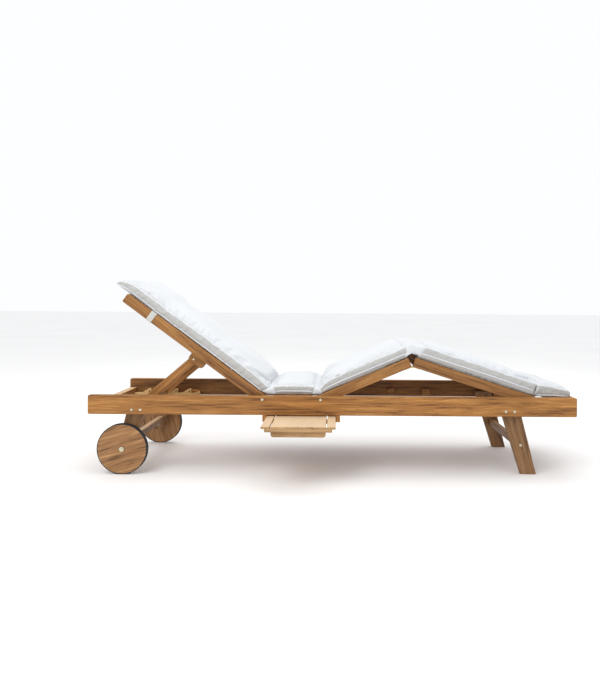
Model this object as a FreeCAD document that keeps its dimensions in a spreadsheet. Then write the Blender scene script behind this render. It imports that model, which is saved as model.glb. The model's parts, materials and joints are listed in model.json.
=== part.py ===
import FreeCAD, Part
import Sketcher
import os
import re

# Reclining wooden sun lounger, millimetres. +X runs from the head end to the foot end, +Z is up and
# the floor is Z = 0. "right" is the -Y side, where the tray is pulled out, and "left" is the +Y side.
# Pieces that tilt are drawn flat, in a frame with its origin at their hinge, and then turned to rest.

DIMS = {
    # side rails and cross rails; lengths along X count from the head end
    "rail_length": 2000,
    "rail_height": 78,
    "rail_depth": 28,
    "rail_low": 241,
    "rail_corner": 7,
    "outer_width": 600,
    "cross_height": 36,
    "head_cross_depth": 34,
    "edge_round": 3,
    "slat_round": 2.5,
    # tilting panels: two stiles with slats and cross pieces between them
    "stile_depth": 40,
    "stile_width": 25,
    "stile_gap": 5,
    "stile_tail": 22,
    "stile_corner": 6,
    "brace_width": 26,
    "brace_inset": 14,
    "pivot_below_top": 15,
    "pivot_height": 304.6,
    "slat_height": 13,
    "slat_below_top": 2,
    "slat_space": 9,
    # backrest, prop brackets and prop
    "back_pivot": 713,
    "back_reach": 708,
    "back_angle": 36.2,
    "bracket_length": 74,
    "bracket_drop": 36,
    "bracket_width": 17,
    "bracket_corner": 14,
    "prop_along": 330,
    "prop_below": 46.5,
    "prop_past_end": 22,
    "prop_length": 300.5,
    "prop_angle": 40.7,
    "prop_depth": 33,
    "prop_width": 20,
    "prop_corner": 16,
    "prop_gap": 1,
    "bar_radius": 10,
    # notched boards under the backrest
    "ratchet_start": 36,
    "ratchet_end": 352,
    "ratchet_top": 275,
    "ratchet_width": 18,
    "notch_depth": 19,
    "notch_first": 61,
    "notch_pitch": 65,
    "notch_half": 11,
    "notch_ramp": 30,
    "packer_start": 300,
    "packer_length": 45,
    # thigh panel, foot panel, and the ledges and blocks that they rest on
    "thigh_pivot": 951,
    "thigh_length": 400,
    "thigh_angle": 23.2,
    "knee_drop": 28,
    "knee_play": 1,
    "foot_length": 520,
    "foot_angle": 17.885,
    "ledge_start": 1785,
    "ledge_end": 1889,
    "ledge_top": 278.6,
    "ledge_width": 24,
    "ledge_first": 1826,
    "ledge_pitch": 23,
    "ledge_notch": 4,
    "block_width": 20,
    "block_length": 45,
    "block_slant": 12,
    "block_low": 250,
    "block_top": 279,
    "thigh_block": 1265,
    "foot_block": 1436,
    # fixed slats over the seat and at the foot end
    "seat_start": 752,
    "seat_end": 912,
    "end_start": 1892,
    "end_end": 1998,
    "end_cleat_end": 1970,
    "fixed_top": 317.6,
    "cleat_low": 279.6,
    # legs
    "leg_width": 28,
    "head_leg_top": 270,
    "head_leg_low": 75,
    "foot_leg_top": 271,
    "head_leg_top_start": 156,
    "head_leg_top_end": 236,
    "head_leg_end_start": 109,
    "head_leg_end_end": 165,
    "foot_leg_top_start": 1692,
    "foot_leg_top_end": 1773,
    "foot_leg_sole_start": 1779,
    "foot_leg_sole_end": 1842,
    "leg_end_round": 20,
    "stretcher_depth": 26,
    "stretcher_height": 28,
    "head_stretcher": 163,
    "head_stretcher_height": 128,
    "foot_stretcher": 1777,
    "foot_stretcher_height": 120,
    # wheels
    "wheel_place": 146.4,
    "wheel_radius": 102.5,
    "wheel_width": 24,
    "wheel_face": 316.5,
    "tyre_depth": 4,
    "tyre_round": 1.5,
    "axle_radius": 6,
    "spacer_radius": 11,
    "running_gap": 0.05,
    "side_gap": 0.3,
    "axle_nut_radius": 9,
    "axle_nut": 7,
    "cap_radius": 10,
    "cap_reach": 322.5,
    # tray and its runners
    "tray_start": 732,
    "tray_width": 282,
    "tray_length": 400,
    "tray_out": 230,
    "tray_top": 237.5,
    "tray_board": 9,
    "tray_side_board": 33,
    "tray_slot": 4,
    "tray_batten": 12,
    "tray_batten_inset": 13,
    "tray_batten_depth": 40,
    "grip_length": 207,
    "grip_height": 19,
    "grip_depth": 22,
    "grip_corner": 10,
    "runner_width": 16,
    "runner_gap": 2,
    "runner_low": 214,
    "runner_lip": 10,
    "runner_lip_height": 14.1,
    # cushion
    "cushion_height": 50,
    "cushion_lift": 0.6,
    "cushion_half": 258,
    "cushion_round": 12,
    "back_cushion_overhang": 68,
    "back_cushion_taper": 60,
    "back_cushion_tip": 22,
    "seat_cushion_start": 755,
    "seat_cushion_end": 918,
    "end_cushion_start": 1880,
    "end_cushion_end": 1989,
    # fasteners and hinges
    "bolt_radius": 3.5,
    "bolt_head_radius": 6.5,
    "bolt_face_radius": 4.8,
    "bolt_head": 3,
    "nut_radius": 6,
    "screw_radius": 3.5,
    "screw_head": 0.6,
    "head_bolt_first": 180,
    "head_bolt_second": 215.5,
    "head_bolt_height": 259.5,
    "foot_bolt_first": 1709,
    "foot_bolt_second": 1744,
    "foot_bolt_height": 262,
    "hinge_width": 21,
    "hinge_leaf": 30,
    "hinge_sheet": 1.5,
    "hinge_radius": 3,
    "hinge_pin": 1.5,
}

SIDES = {"right": -1, "left": 1}

doc = FreeCAD.newDocument("sun_lounger")
sheet = doc.addObject("Spreadsheet::Sheet", "dims")
for row, (alias, number) in enumerate(DIMS.items(), start=1):
    sheet.set("A%d" % row, alias)
    sheet.set("B%d" % row, str(number))
    sheet.setAlias("B%d" % row, alias)
doc.recompute()

# Half widths, measured from the lounger's centreline.
OUTER = "outer_width / 2"
RAIL_IN = "(outer_width / 2 - rail_depth)"
STILE_OUT = "(outer_width / 2 - rail_depth - stile_gap)"
STILE_IN = "(outer_width / 2 - rail_depth - stile_gap - stile_width)"
LEG_IN = "(outer_width / 2 - rail_depth - leg_width)"
RATCHET_IN = "(outer_width / 2 - rail_depth - leg_width - ratchet_width)"
BRACKET_IN = "(outer_width / 2 - rail_depth - stile_gap - stile_width - bracket_width)"
ARM_OUT = BRACKET_IN[:-1] + " - prop_gap)"
ARM_IN = BRACKET_IN[:-1] + " - prop_gap - prop_width)"
WHEEL_IN = "(wheel_face - wheel_width)"

# The box around the whole lounger is centred on Y = 0, so the pulled-out tray moves the
# centreline towards +Y.
MID_Y = "(outer_width / 2 + tray_out - cap_reach) / 2"
RAIL_TOP = "(rail_low + rail_height)"

# Heights inside a tilting panel, measured from its hinge.
STILE_LOW = "(pivot_below_top - stile_depth)"
SLAT_LOW = "(pivot_below_top - slat_below_top - slat_height)"
CUSHION_LOW = "(pivot_below_top + cushion_lift)"

# Each frame is its origin's X and Z and its turn about +Y in degrees.
CHASSIS = ("-rail_length / 2", "0", "0")
BACKREST = ("back_pivot - rail_length / 2", "pivot_height", "back_angle")
PROP = (
    "back_pivot - rail_length / 2 - prop_along * cos(back_angle) - prop_below * sin(back_angle)",
    "pivot_height + prop_along * sin(back_angle) - prop_below * cos(back_angle)",
    "-prop_angle",
)
THIGH = ("thigh_pivot - rail_length / 2", "pivot_height", "-thigh_angle")
FOOT = (
    "thigh_pivot - rail_length / 2 + thigh_length * cos(thigh_angle) + knee_drop * sin(thigh_angle)",
    "pivot_height + thigh_length * sin(thigh_angle) - knee_drop * cos(thigh_angle)",
    "foot_angle",
)
WHEELS = ("wheel_place - rail_length / 2", "wheel_radius", "0")
TRAY = ("tray_start - rail_length / 2", "0", "0")

nodes = []


def bound(text):
    """The expression with each of the sheet's words written as dims.word."""
    def prefixed(match):
        word = match.group()
        return "dims." + word if word in DIMS else word
    return re.sub(r"[a-z_]+", prefixed, text)


def bind(thing, prop, text):
    thing.setExpression(prop, bound(text))


def value(text):
    """The number that an expression gives."""
    return float(sheet.evalExpression(bound(text)))


def group(label, pieces, frame):
    """One node from solids drawn in the same frame, with Y measured from the centreline."""
    thing = doc.addObject("Part::Compound", "Node")
    thing.Links = pieces
    thing.Label = label
    turn = FreeCAD.Rotation(FreeCAD.Vector(0, 1, 0), 1)
    thing.Placement = FreeCAD.Placement(FreeCAD.Vector(), turn)
    bind(thing, "Placement.Base.x", frame[0])
    bind(thing, "Placement.Base.y", MID_Y)
    bind(thing, "Placement.Base.z", frame[1])
    bind(thing, "Placement.Rotation.Angle", frame[2])
    nodes.append(thing)


def low(side, inner, outer):
    """The lower Y of a piece that spans inner to outer on one side of the centreline."""
    return inner if side > 0 else "-(%s)" % outer


def box(size, corner):
    """A plain box from three sizes and its lowest corner."""
    thing = doc.addObject("Part::Box", "Box")
    for prop, text in zip(("Length", "Width", "Height"), size):
        bind(thing, prop, text)
    for axis, text in zip("xyz", corner):
        bind(thing, "Placement.Base." + axis, text)
    return thing


def board(size, corner, round_word="edge_round"):
    """A box with every edge rounded, as a planed board has."""
    thing = doc.addObject("Part::Fillet", "Board")
    thing.Base = box(size, corner)
    doc.recompute()
    amount = value(round_word)
    thing.Edges = [(number, amount, amount) for number in range(1, 13)]
    return thing


def stand_along_y(thing, spot):
    """Turn a round primitive's axis to +Y and start it at a spot."""
    turn = FreeCAD.Rotation(FreeCAD.Vector(1, 0, 0), -90)
    thing.Placement = FreeCAD.Placement(FreeCAD.Vector(), turn)
    for axis, text in zip("xyz", spot):
        bind(thing, "Placement.Base." + axis, text)
    return thing


def rod(radius, y_from, y_to, place=("0", "0")):
    """A round rod along Y at an X and Z."""
    thing = doc.addObject("Part::Cylinder", "Rod")
    bind(thing, "Radius", radius)
    bind(thing, "Height", "(%s) - (%s)" % (y_to, y_from))
    return stand_along_y(thing, (place[0], y_from, place[1]))


def side_rod(side, radius, inner, outer, place=("0", "0")):
    """A rod that spans inner to outer on one side of the centreline."""
    if side > 0:
        return rod(radius, inner, outer, place)
    return rod(radius, "-(%s)" % outer, "-(%s)" % inner, place)


def tube(side, radius, hole, inner, outer):
    return cut(side_rod(side, radius, inner, outer), side_rod(side, hole, inner, outer))


def bolt_head(side, face, place):
    """A low head with a sloping rim, standing on a face that looks away from the centreline."""
    thing = doc.addObject("Part::Cone", "Head")
    wide, narrow = ("Radius1", "Radius2") if side > 0 else ("Radius2", "Radius1")
    bind(thing, wide, "bolt_head_radius")
    bind(thing, narrow, "bolt_face_radius")
    bind(thing, "Height", "bolt_head")
    start = face if side > 0 else "-(%s + bolt_head)" % face
    return stand_along_y(thing, (place[0], start, place[1]))


def bolt(side, inner, face, place, nut=False):
    """A bolt through the wood from inner to the face, with its head outside."""
    pieces = [side_rod(side, "bolt_radius", inner, face, place), bolt_head(side, face, place)]
    if nut:
        end = inner + " - side_gap"
        pieces.append(side_rod(side, "nut_radius", end + " - bolt_head", end, place))
        pieces.append(side_rod(side, "bolt_radius", end, inner, place))
    return fuse(pieces)


def cut(base, tool):
    thing = doc.addObject("Part::Cut", "Cut")
    thing.Base = base
    thing.Tool = tool
    return thing


def fuse(pieces):
    thing = doc.addObject("Part::MultiFuse", "Fuse")
    thing.Shapes = pieces
    return thing


def round_rims(base, radius_word):
    """Round the two outer rims of a disc or ring whose axis is Y."""
    doc.recompute()
    amount = value(radius_word)
    widest = max(edge.Curve.Radius for edge in base.Shape.Edges if hasattr(edge.Curve, "Radius"))
    thing = doc.addObject("Part::Fillet", "Rims")
    thing.Base = base
    thing.Edges = [
        (number, amount, amount)
        for number, edge in enumerate(base.Shape.Edges, start=1)
        if hasattr(edge.Curve, "Radius") and abs(edge.Curve.Radius - widest) < 0.001
    ]
    return thing


def lock(sketch, geometry, end, point):
    """Tie one point of a sketch to the sheet."""
    for kind, text in (("DistanceX", point[0]), ("DistanceY", point[1])):
        rule = Sketcher.Constraint(kind, -1, 1, geometry, end, value(text))
        bind(sketch, "Constraints[%d]" % sketch.addConstraint(rule), text)


def outline_sketch(body, outline, holes):
    """A closed outline with round holes on the body's X-Z plane."""
    sketch = body.newObject("Sketcher::SketchObject", "Outline")
    plane = next(item for item in body.Origin.OriginFeatures if item.Role == "XZ_Plane")
    sketch.AttachmentSupport = [(plane, "")]
    sketch.MapMode = "FlatFace"
    count = len(outline)
    spots = [FreeCAD.Vector(value(x), value(z), 0) for x, z in outline]
    for number in range(count):
        sketch.addGeometry(Part.LineSegment(spots[number], spots[(number + 1) % count]), False)
    for number in range(count):
        following = (number + 1) % count
        sketch.addConstraint(Sketcher.Constraint("Coincident", number, 2, following, 1))
    for number, point in enumerate(outline):
        lock(sketch, number, 1, point)
    for x, z, radius in holes:
        centre = FreeCAD.Vector(value(x), value(z), 0)
        ring = Part.Circle(centre, FreeCAD.Vector(0, 0, 1), value(radius))
        circle = sketch.addGeometry(ring, False)
        lock(sketch, circle, 3, (x, z))
        rule = Sketcher.Constraint("Radius", circle, value(radius))
        bind(sketch, "Constraints[%d]" % sketch.addConstraint(rule), radius)
    return sketch, spots


def edge_names(shape, wanted):
    return ["Edge%d" % number for number, edge in enumerate(shape.Edges, start=1) if wanted(edge)]


def round_edges(body, base, names, radius_word):
    """Add a fillet to a body and return it."""
    rounded = body.newObject("PartDesign::Fillet", "Rounded")
    rounded.Base = (base, names)
    bind(rounded, "Radius", radius_word)
    doc.recompute()
    return rounded


def prism(outline, width, y_low, corners=None, holes=(), rim="edge_round"):
    """A board cut to an outline of (x, z) points and padded along +Y from y_low.

    corners is (corner numbers, radius word). rim is the radius word for the edges of both flat
    faces, or None.
    """
    body = doc.addObject("PartDesign::Body", "Body")
    sketch, spots = outline_sketch(body, outline, holes)
    top = body.newObject("PartDesign::Pad", "Pad")
    top.Profile = sketch
    top.Reversed = True
    bind(top, "Length", width)
    doc.recompute()
    if corners:
        chosen = [spots[number] for number in corners[0]]

        def at_corner(edge):
            middle = edge.CenterOfMass
            return any(abs(middle.x - s.x) + abs(middle.z - s.y) < 0.01 for s in chosen)
        top = round_edges(body, top, edge_names(top.Shape, at_corner), corners[1])
    if rim:
        faces = (top.Shape.BoundBox.YMin, top.Shape.BoundBox.YMax)

        def on_face(edge):
            bounds = edge.BoundBox
            flat = bounds.YMax - bounds.YMin < 0.001
            closed = edge.isClosed()
            return flat and not closed and min(abs(bounds.YMin - face) for face in faces) < 0.001
        round_edges(body, top, edge_names(top.Shape, on_face), rim)
    bind(body, "Placement.Base.y", y_low)
    return body


def rectangle(x_low, x_high, z_low, z_high):
    return [(x_low, z_low), (x_high, z_low), (x_high, z_high), (x_low, z_high)]


def cross_piece(label, x_low, z_low, height, depth, half_width, frame):
    """A board across the lounger between its two sides."""
    size = (depth, "2 * " + half_width, height)
    group(label, [board(size, (x_low, "-" + half_width, z_low))], frame)


def slat_row(count, x_from, x_to, z_low, half_width):
    """Evenly spaced slats across the lounger, as separate solids."""
    width = "((%s) - (%s) - %d * slat_space) / %d" % (x_to, x_from, count - 1, count)
    return [
        board((width, "2 * " + half_width, "slat_height"),
              ("%s + %d * (%s + slat_space)" % (x_from, number, width), "-" + half_width, z_low),
              "slat_round")
        for number in range(count)
    ]


# ---------------------------------------------------------------- chassis

ALL_CORNERS = ((0, 1, 2, 3), "rail_corner")
HEAD_BOLTS = [("head_bolt_first", "head_bolt_height"), ("head_bolt_second", "head_bolt_height")]
FOOT_BOLTS = [("foot_bolt_first", "foot_bolt_height"), ("foot_bolt_second", "foot_bolt_height")]
PIVOTS = [("back_pivot", "pivot_height"), ("thigh_pivot", "pivot_height")]
HEAD_STRETCHER_BOLT = ("head_stretcher", "head_stretcher_height")
FOOT_STRETCHER_BOLT = ("foot_stretcher", "foot_stretcher_height")


def bolt_holes(places):
    return [(x, z, "bolt_radius") for x, z in places]


def side_rails():
    outline = rectangle("0", "rail_length", "rail_low", RAIL_TOP)
    holes = bolt_holes(HEAD_BOLTS + FOOT_BOLTS + PIVOTS)
    for name, side in SIDES.items():
        rail = prism(outline, "rail_depth", low(side, RAIL_IN, OUTER), ALL_CORNERS, holes)
        group("side_rail_" + name, [rail], CHASSIS)


def cross_rails():
    cross_piece("head_cross_rail", "0", "rail_low", "cross_height", "head_cross_depth", RAIL_IN,
                CHASSIS)
    cross_piece("foot_cross_rail", "rail_length - rail_depth",
                "fixed_top - slat_height - cross_height", "cross_height", "rail_depth",
                RAIL_IN, CHASSIS)


def fixed_slats():
    """Slats over the seat and at the foot end, and the cleats on the rails that carry them."""
    spans = {
        "seat": (3, "seat_start", "seat_end", "seat_end"),
        "end": (2, "end_start", "end_end", "end_cleat_end"),
    }
    z_low = "fixed_top - slat_height"
    cleats = []
    for span, (count, x_from, x_to, cleat_to) in spans.items():
        group(span + "_slats", slat_row(count, x_from, x_to, z_low, RAIL_IN), CHASSIS)
        for side in SIDES.values():
            size = (cleat_to + " - " + x_from, "block_width", z_low + " - cleat_low")
            y_low = low(side, RAIL_IN + " - block_width", RAIL_IN)
            cleats.append(board(size, (x_from, y_low, "cleat_low")))
    group("slat_cleats", cleats, CHASSIS)


def ratchet_outline():
    """Five notches with a ramp on the foot side. Four have an upright wall on the head side, and
    the head cross rail is the wall of the first one."""
    floor = "ratchet_top - notch_depth"
    points = [("ratchet_start", "rail_low"), ("ratchet_end", "rail_low")]
    points.append(("ratchet_end", floor + " + notch_depth * (ratchet_end - notch_first"
                   " - 4 * notch_pitch - notch_half) / notch_ramp"))
    for number in range(4, -1, -1):
        centre = "notch_first + %d * notch_pitch" % number
        if number < 4:
            points.append((centre + " + notch_half + notch_ramp", "ratchet_top"))
        points.append((centre + " + notch_half", floor))
        if number:
            points.append((centre + " - notch_half", floor))
            points.append((centre + " - notch_half", "ratchet_top"))
    points.append(("ratchet_start", floor))
    return points


def ratchets():
    """Notched boards that hold the prop's bar, their packers and their screws."""
    packers = []
    heads = []
    for name, side in SIDES.items():
        y_low = low(side, RATCHET_IN, LEG_IN)
        ratchet = prism(ratchet_outline(), "ratchet_width", y_low, rim=None)
        group("ratchet_" + name, [ratchet], CHASSIS)
        size = ("packer_length", "leg_width", "head_leg_top - rail_low")
        packers.append(board(size, ("packer_start", low(side, LEG_IN, RAIL_IN), "rail_low")))
        for number in range(4):
            x = "notch_first + %d * notch_pitch + 1.5 * notch_half + notch_ramp" % number
            place = (x, "ratchet_top - notch_half")
            heads.append(side_rod(side, "screw_radius", RATCHET_IN + " - screw_head",
                                  RATCHET_IN, place))
    group("ratchet_packers", packers, CHASSIS)
    group("ratchet_screws", heads, CHASSIS)


def ledge_outline():
    """Three shallow notches for the foot panel's end."""
    points = [("ledge_start", "rail_low"), ("ledge_end", "rail_low"), ("ledge_end", "ledge_top")]
    for number in (2, 1, 0):
        stop = "ledge_first + %d * ledge_pitch" % number
        points.append((stop + " + ledge_notch", "ledge_top"))
        points.append((stop + " + ledge_notch", "ledge_top - ledge_notch"))
        points.append((stop + " - 2 * ledge_notch", "ledge_top"))
    points.append(("ledge_start", "ledge_top"))
    return points


def panel_rests():
    """Ledges under the foot panel's end, and blocks under the panels when they lie flat."""
    ledges = []
    blocks = []
    for side in SIDES.values():
        y_low = low(side, RAIL_IN + " - ledge_width", RAIL_IN)
        ledges.append(prism(ledge_outline(), "ledge_width", y_low, rim=None))
        y_low = low(side, RAIL_IN + " - block_width", RAIL_IN)
        for start in ("thigh_block", "foot_block"):
            outline = [
                (start, "block_low"),
                (start + " + block_length", "block_low"),
                (start + " + block_length - block_slant", "block_top"),
                (start, "block_top"),
            ]
            blocks.append(prism(outline, "block_width", y_low, rim="slat_round"))
    group("knee_ledges", ledges, CHASSIS)
    group("rest_blocks", blocks, CHASSIS)


# Corners of the tapered legs, clockwise from the top at the head side.
HEAD_LEG = [
    ("head_leg_top_start", "head_leg_top"),
    ("head_leg_top_end", "head_leg_top"),
    ("head_leg_end_end", "head_leg_low"),
    ("head_leg_end_start", "head_leg_low"),
]
FOOT_LEG = [
    ("foot_leg_top_start", "foot_leg_top"),
    ("foot_leg_top_end", "foot_leg_top"),
    ("foot_leg_sole_end", "0"),
    ("foot_leg_sole_start", "0"),
]


def legs():
    head_holes = bolt_holes(HEAD_BOLTS + [HEAD_STRETCHER_BOLT])
    head_holes.append(("wheel_place", "wheel_radius", "axle_radius"))
    foot_holes = bolt_holes(FOOT_BOLTS + [FOOT_STRETCHER_BOLT])
    for name, side in SIDES.items():
        y_low = low(side, LEG_IN, RAIL_IN)
        head_leg = prism(HEAD_LEG, "leg_width", y_low, ((2, 3), "leg_end_round"), head_holes)
        group("wheel_leg_" + name, [head_leg], CHASSIS)
        foot_leg = prism(FOOT_LEG, "leg_width", y_low, holes=foot_holes)
        group("foot_leg_" + name, [foot_leg], CHASSIS)
    for end in ("head", "foot"):
        label = "wheel_stretcher" if end == "head" else "foot_stretcher"
        cross_piece(label, end + "_stretcher - stretcher_depth / 2",
                    end + "_stretcher_height - stretcher_height / 2", "stretcher_height",
                    "stretcher_depth", LEG_IN, CHASSIS)


def frame_bolts():
    """Bolts that hold the legs, and the four pivots with their nuts and washers."""
    bolts = []
    pivots = []
    washers = []
    for side in SIDES.values():
        bolts += [bolt(side, LEG_IN + " + 2 * bolt_head", OUTER, place)
                  for place in HEAD_BOLTS + FOOT_BOLTS]
        for place in (HEAD_STRETCHER_BOLT, FOOT_STRETCHER_BOLT):
            bolts.append(bolt(side, LEG_IN, RAIL_IN, place))
        for place in PIVOTS:
            pivots.append(bolt(side, STILE_IN, OUTER, place, nut=True))
            start = STILE_OUT + " + side_gap"
            disc = side_rod(side, "nut_radius + bolt_head", start, RAIL_IN, place)
            washers.append(cut(disc, side_rod(side, "bolt_radius", start, RAIL_IN, place)))
    group("frame_bolts", bolts, CHASSIS)
    group("pivot_bolts", pivots, CHASSIS)
    group("pivot_washers", washers, CHASSIS)


def axles_and_wheels():
    """Each wheel turns on its own stub axle, which a nut holds on the leg's inner face."""
    end = "(wheel_face + bolt_head)"
    axles = []
    spacers = []
    caps = []
    for name, side in SIDES.items():
        nut = side_rod(side, "axle_nut_radius", LEG_IN + " - axle_nut", LEG_IN)
        axles.append(fuse([side_rod(side, "axle_radius", LEG_IN + " - axle_nut", end), nut]))
        spacers.append(
            tube(side, "spacer_radius", "axle_radius", RAIL_IN, WHEEL_IN + " - side_gap"))
        cap = side_rod(side, "cap_radius", "wheel_face + side_gap", "cap_reach")
        bore = side_rod(side, "axle_radius", "wheel_face + side_gap", end)
        caps.append(cut(round_rims(cap, "tyre_round"), bore))
        disc_radius = "wheel_radius - tyre_depth"
        disc = tube(side, disc_radius, "axle_radius + running_gap", WHEEL_IN, "wheel_face")
        group("wheel_disc_" + name, [disc], WHEELS)
        tyre = tube(side, "wheel_radius", disc_radius, WHEEL_IN, "wheel_face")
        group("tyre_" + name, [round_rims(tyre, "tyre_round")], WHEELS)
    group("axles", axles, WHEELS)
    group("wheel_spacers", spacers, WHEELS)
    group("hub_caps", caps, WHEELS)


# ---------------------------------------------------------------- tilting panels

def stiles(label, x_from, x_to, z_low, frame, holes, round_ends):
    outline = rectangle(x_from, x_to, z_low, z_low + " + stile_depth")
    for name, side in SIDES.items():
        y_low = low(side, STILE_IN, STILE_OUT)
        stile = prism(outline, "stile_width", y_low, (round_ends, "stile_corner"), holes)
        group("%s_stile_%s" % (label, name), [stile], frame)


def braces(label, starts, z_low, frame):
    """Cross pieces that tie the stiles together under the slats."""
    height = "stile_depth - pivot_below_top"
    size = ("brace_width", "2 * " + STILE_IN, height)
    pieces = [board(size, (start, "-" + STILE_IN, z_low)) for start in starts]
    group(label + "_braces", pieces, frame)


def cushion(label, x_from, x_to, z_low, frame):
    """A plain closed solid in the cushion's place."""
    size = ("(%s) - (%s)" % (x_to, x_from), "2 * cushion_half", "cushion_height")
    pad = board(size, (x_from, "-cushion_half", z_low), "cushion_round")
    group(label + "_cushion", [pad], frame)


PIVOT_BORE = [("0", "0", "bolt_radius + running_gap")]


def backrest():
    stiles("backrest", "-back_reach", "stile_tail", STILE_LOW, BACKREST, PIVOT_BORE, (0, 1, 2, 3))
    slats = slat_row(12, "-back_reach + slat_space", "-brace_inset", SLAT_LOW, STILE_IN)
    group("backrest_slats", slats, BACKREST)
    braces("backrest", ("-back_reach + slat_space", "-brace_inset - brace_width"), STILE_LOW, BACKREST)
    head = "-prop_along - prop_past_end"
    foot = head + " + bracket_length"
    base = STILE_LOW + " - bracket_drop"
    outline = rectangle(head, foot, base, SLAT_LOW + " - side_gap")
    holes = [("-prop_along", "-prop_below", "bolt_radius")]
    brackets = [prism(outline, "bracket_width", low(side, BRACKET_IN, STILE_IN),
                      ((0, 1), "bracket_corner"), holes)
                for side in SIDES.values()]
    group("prop_brackets", brackets, BACKREST)
    head = "-back_reach - back_cushion_overhang"
    top = CUSHION_LOW + " + cushion_height"
    outline = [
        (head, CUSHION_LOW),
        ("-stile_tail", CUSHION_LOW),
        ("-stile_tail", top),
        (head + " + back_cushion_taper", top),
        (head, CUSHION_LOW + " + back_cushion_tip"),
    ]
    pad = prism(outline, "2 * cushion_half", "-cushion_half", ((0, 1, 2, 3, 4), "rail_corner"))
    group("back_cushion", [pad], BACKREST)


def prop():
    outline = rectangle("-prop_length - prop_depth / 2", "prop_depth / 2", "-prop_depth / 2",
                        "prop_depth / 2")
    holes = PIVOT_BORE + [("-prop_length", "0", "bar_radius")]
    bolts = []
    for name, side in SIDES.items():
        y_low = low(side, ARM_IN, ARM_OUT)
        arm = prism(outline, "prop_width", y_low, ((0, 1, 2, 3), "prop_corner"), holes)
        group("prop_arm_" + name, [arm], PROP)
        shaft = side_rod(side, "bolt_radius", ARM_IN + " - side_gap", STILE_IN,
                         ("-prop_along", "-prop_below"))
        head = side_rod(side, "bolt_head_radius", ARM_IN + " - side_gap - bolt_head",
                        ARM_IN + " - side_gap", ("-prop_along", "-prop_below"))
        bolts.append(fuse([shaft, head]))
    group("prop_bolts", bolts, BACKREST)
    group("prop_bar", [rod("bar_radius", "-" + ARM_OUT, ARM_OUT, ("-prop_length", "0"))], PROP)


def thigh_panel():
    end = "thigh_length - knee_play"
    stiles("thigh", "-stile_tail", end, STILE_LOW, THIGH, PIVOT_BORE, (0, 3))
    slats = slat_row(7, "brace_inset", "thigh_length - slat_space", SLAT_LOW, STILE_IN)
    group("thigh_slats", slats, THIGH)
    braces("thigh", ("brace_inset", "thigh_length - brace_inset - brace_width"), STILE_LOW, THIGH)
    cushion("thigh", "4 * knee_play", "thigh_length - 4 * knee_play", CUSHION_LOW, THIGH)


def foot_panel():
    z_low = STILE_LOW + " + knee_drop"
    stiles("foot", "knee_play", "foot_length", z_low, FOOT, (), (1, 2))
    slats = slat_row(9, "slat_space", "foot_length - slat_space", SLAT_LOW + " + knee_drop", STILE_IN)
    group("foot_slats", slats, FOOT)
    braces("foot", ("brace_inset", "foot_length - brace_inset - brace_width"), z_low, FOOT)
    cushion("foot", "4 * knee_play", "foot_length - 2 * knee_play", CUSHION_LOW + " + knee_drop", FOOT)


def hinge_leaf(side, direction, knuckles, centre, hole):
    """A leaf under one stile, with its knuckles on the hinge's axis."""
    x, z = centre
    near = "hinge_radius + side_gap"
    inner = STILE_OUT + " - hinge_width - 2"
    plate_z = z + " + hinge_radius - hinge_sheet"
    plate_x = x + (" + " + near if direction > 0 else " - hinge_leaf")
    plate_size = ("hinge_leaf - (%s)" % near, "hinge_width", "hinge_sheet")
    pieces = [box(plate_size, (plate_x, low(side, inner, inner + " + hinge_width"), plate_z))]
    for start, end in knuckles:
        span = (inner + " + " + start, inner + " + " + end)
        pieces.append(side_rod(side, "hinge_radius", span[0], span[1], (x, z)))
        bridge_x = x if direction > 0 else x + " - (%s)" % near
        bridge_size = (near, "(%s) - (%s)" % (span[1], span[0]), "hinge_sheet")
        pieces.append(box(bridge_size, (bridge_x, low(side, span[0], span[1]), plate_z)))
    bore = side_rod(side, hole, inner, inner + " + hinge_width", (x, z))
    return cut(fuse(pieces), bore)


def knee_hinges():
    """Butt hinges under the stiles: outer knuckles and pin on the thigh panel, middle on the foot."""
    third = "hinge_width / 3"
    outer_knuckles = [("0", third), ("2 * " + third, "hinge_width")]
    middle = [(third + " + side_gap", "2 * %s - side_gap" % third)]
    thigh_axis = ("thigh_length", "-knee_drop")
    foot_bore = "hinge_pin + running_gap"
    thigh_leaves = [hinge_leaf(side, -1, outer_knuckles, thigh_axis, "hinge_pin")
                    for side in SIDES.values()]
    foot_leaves = [hinge_leaf(side, 1, middle, ("0", "0"), foot_bore) for side in SIDES.values()]
    group("knee_hinge_thigh_leaves", thigh_leaves, THIGH)
    group("knee_hinge_foot_leaves", foot_leaves, FOOT)
    inner = STILE_OUT + " - hinge_width - 2"
    pins = [side_rod(side, "hinge_pin", inner, inner + " + hinge_width", thigh_axis)
            for side in SIDES.values()]
    group("knee_hinge_pins", pins, THIGH)


def fixed_cushions():
    cushion("seat", "seat_cushion_start", "seat_cushion_end", "fixed_top + cushion_lift", CHASSIS)
    cushion("end", "end_cushion_start", "end_cushion_end", "fixed_top + cushion_lift", CHASSIS)


# ---------------------------------------------------------------- tray

TRAY_FRONT = "(-outer_width / 2 - tray_out)"


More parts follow.
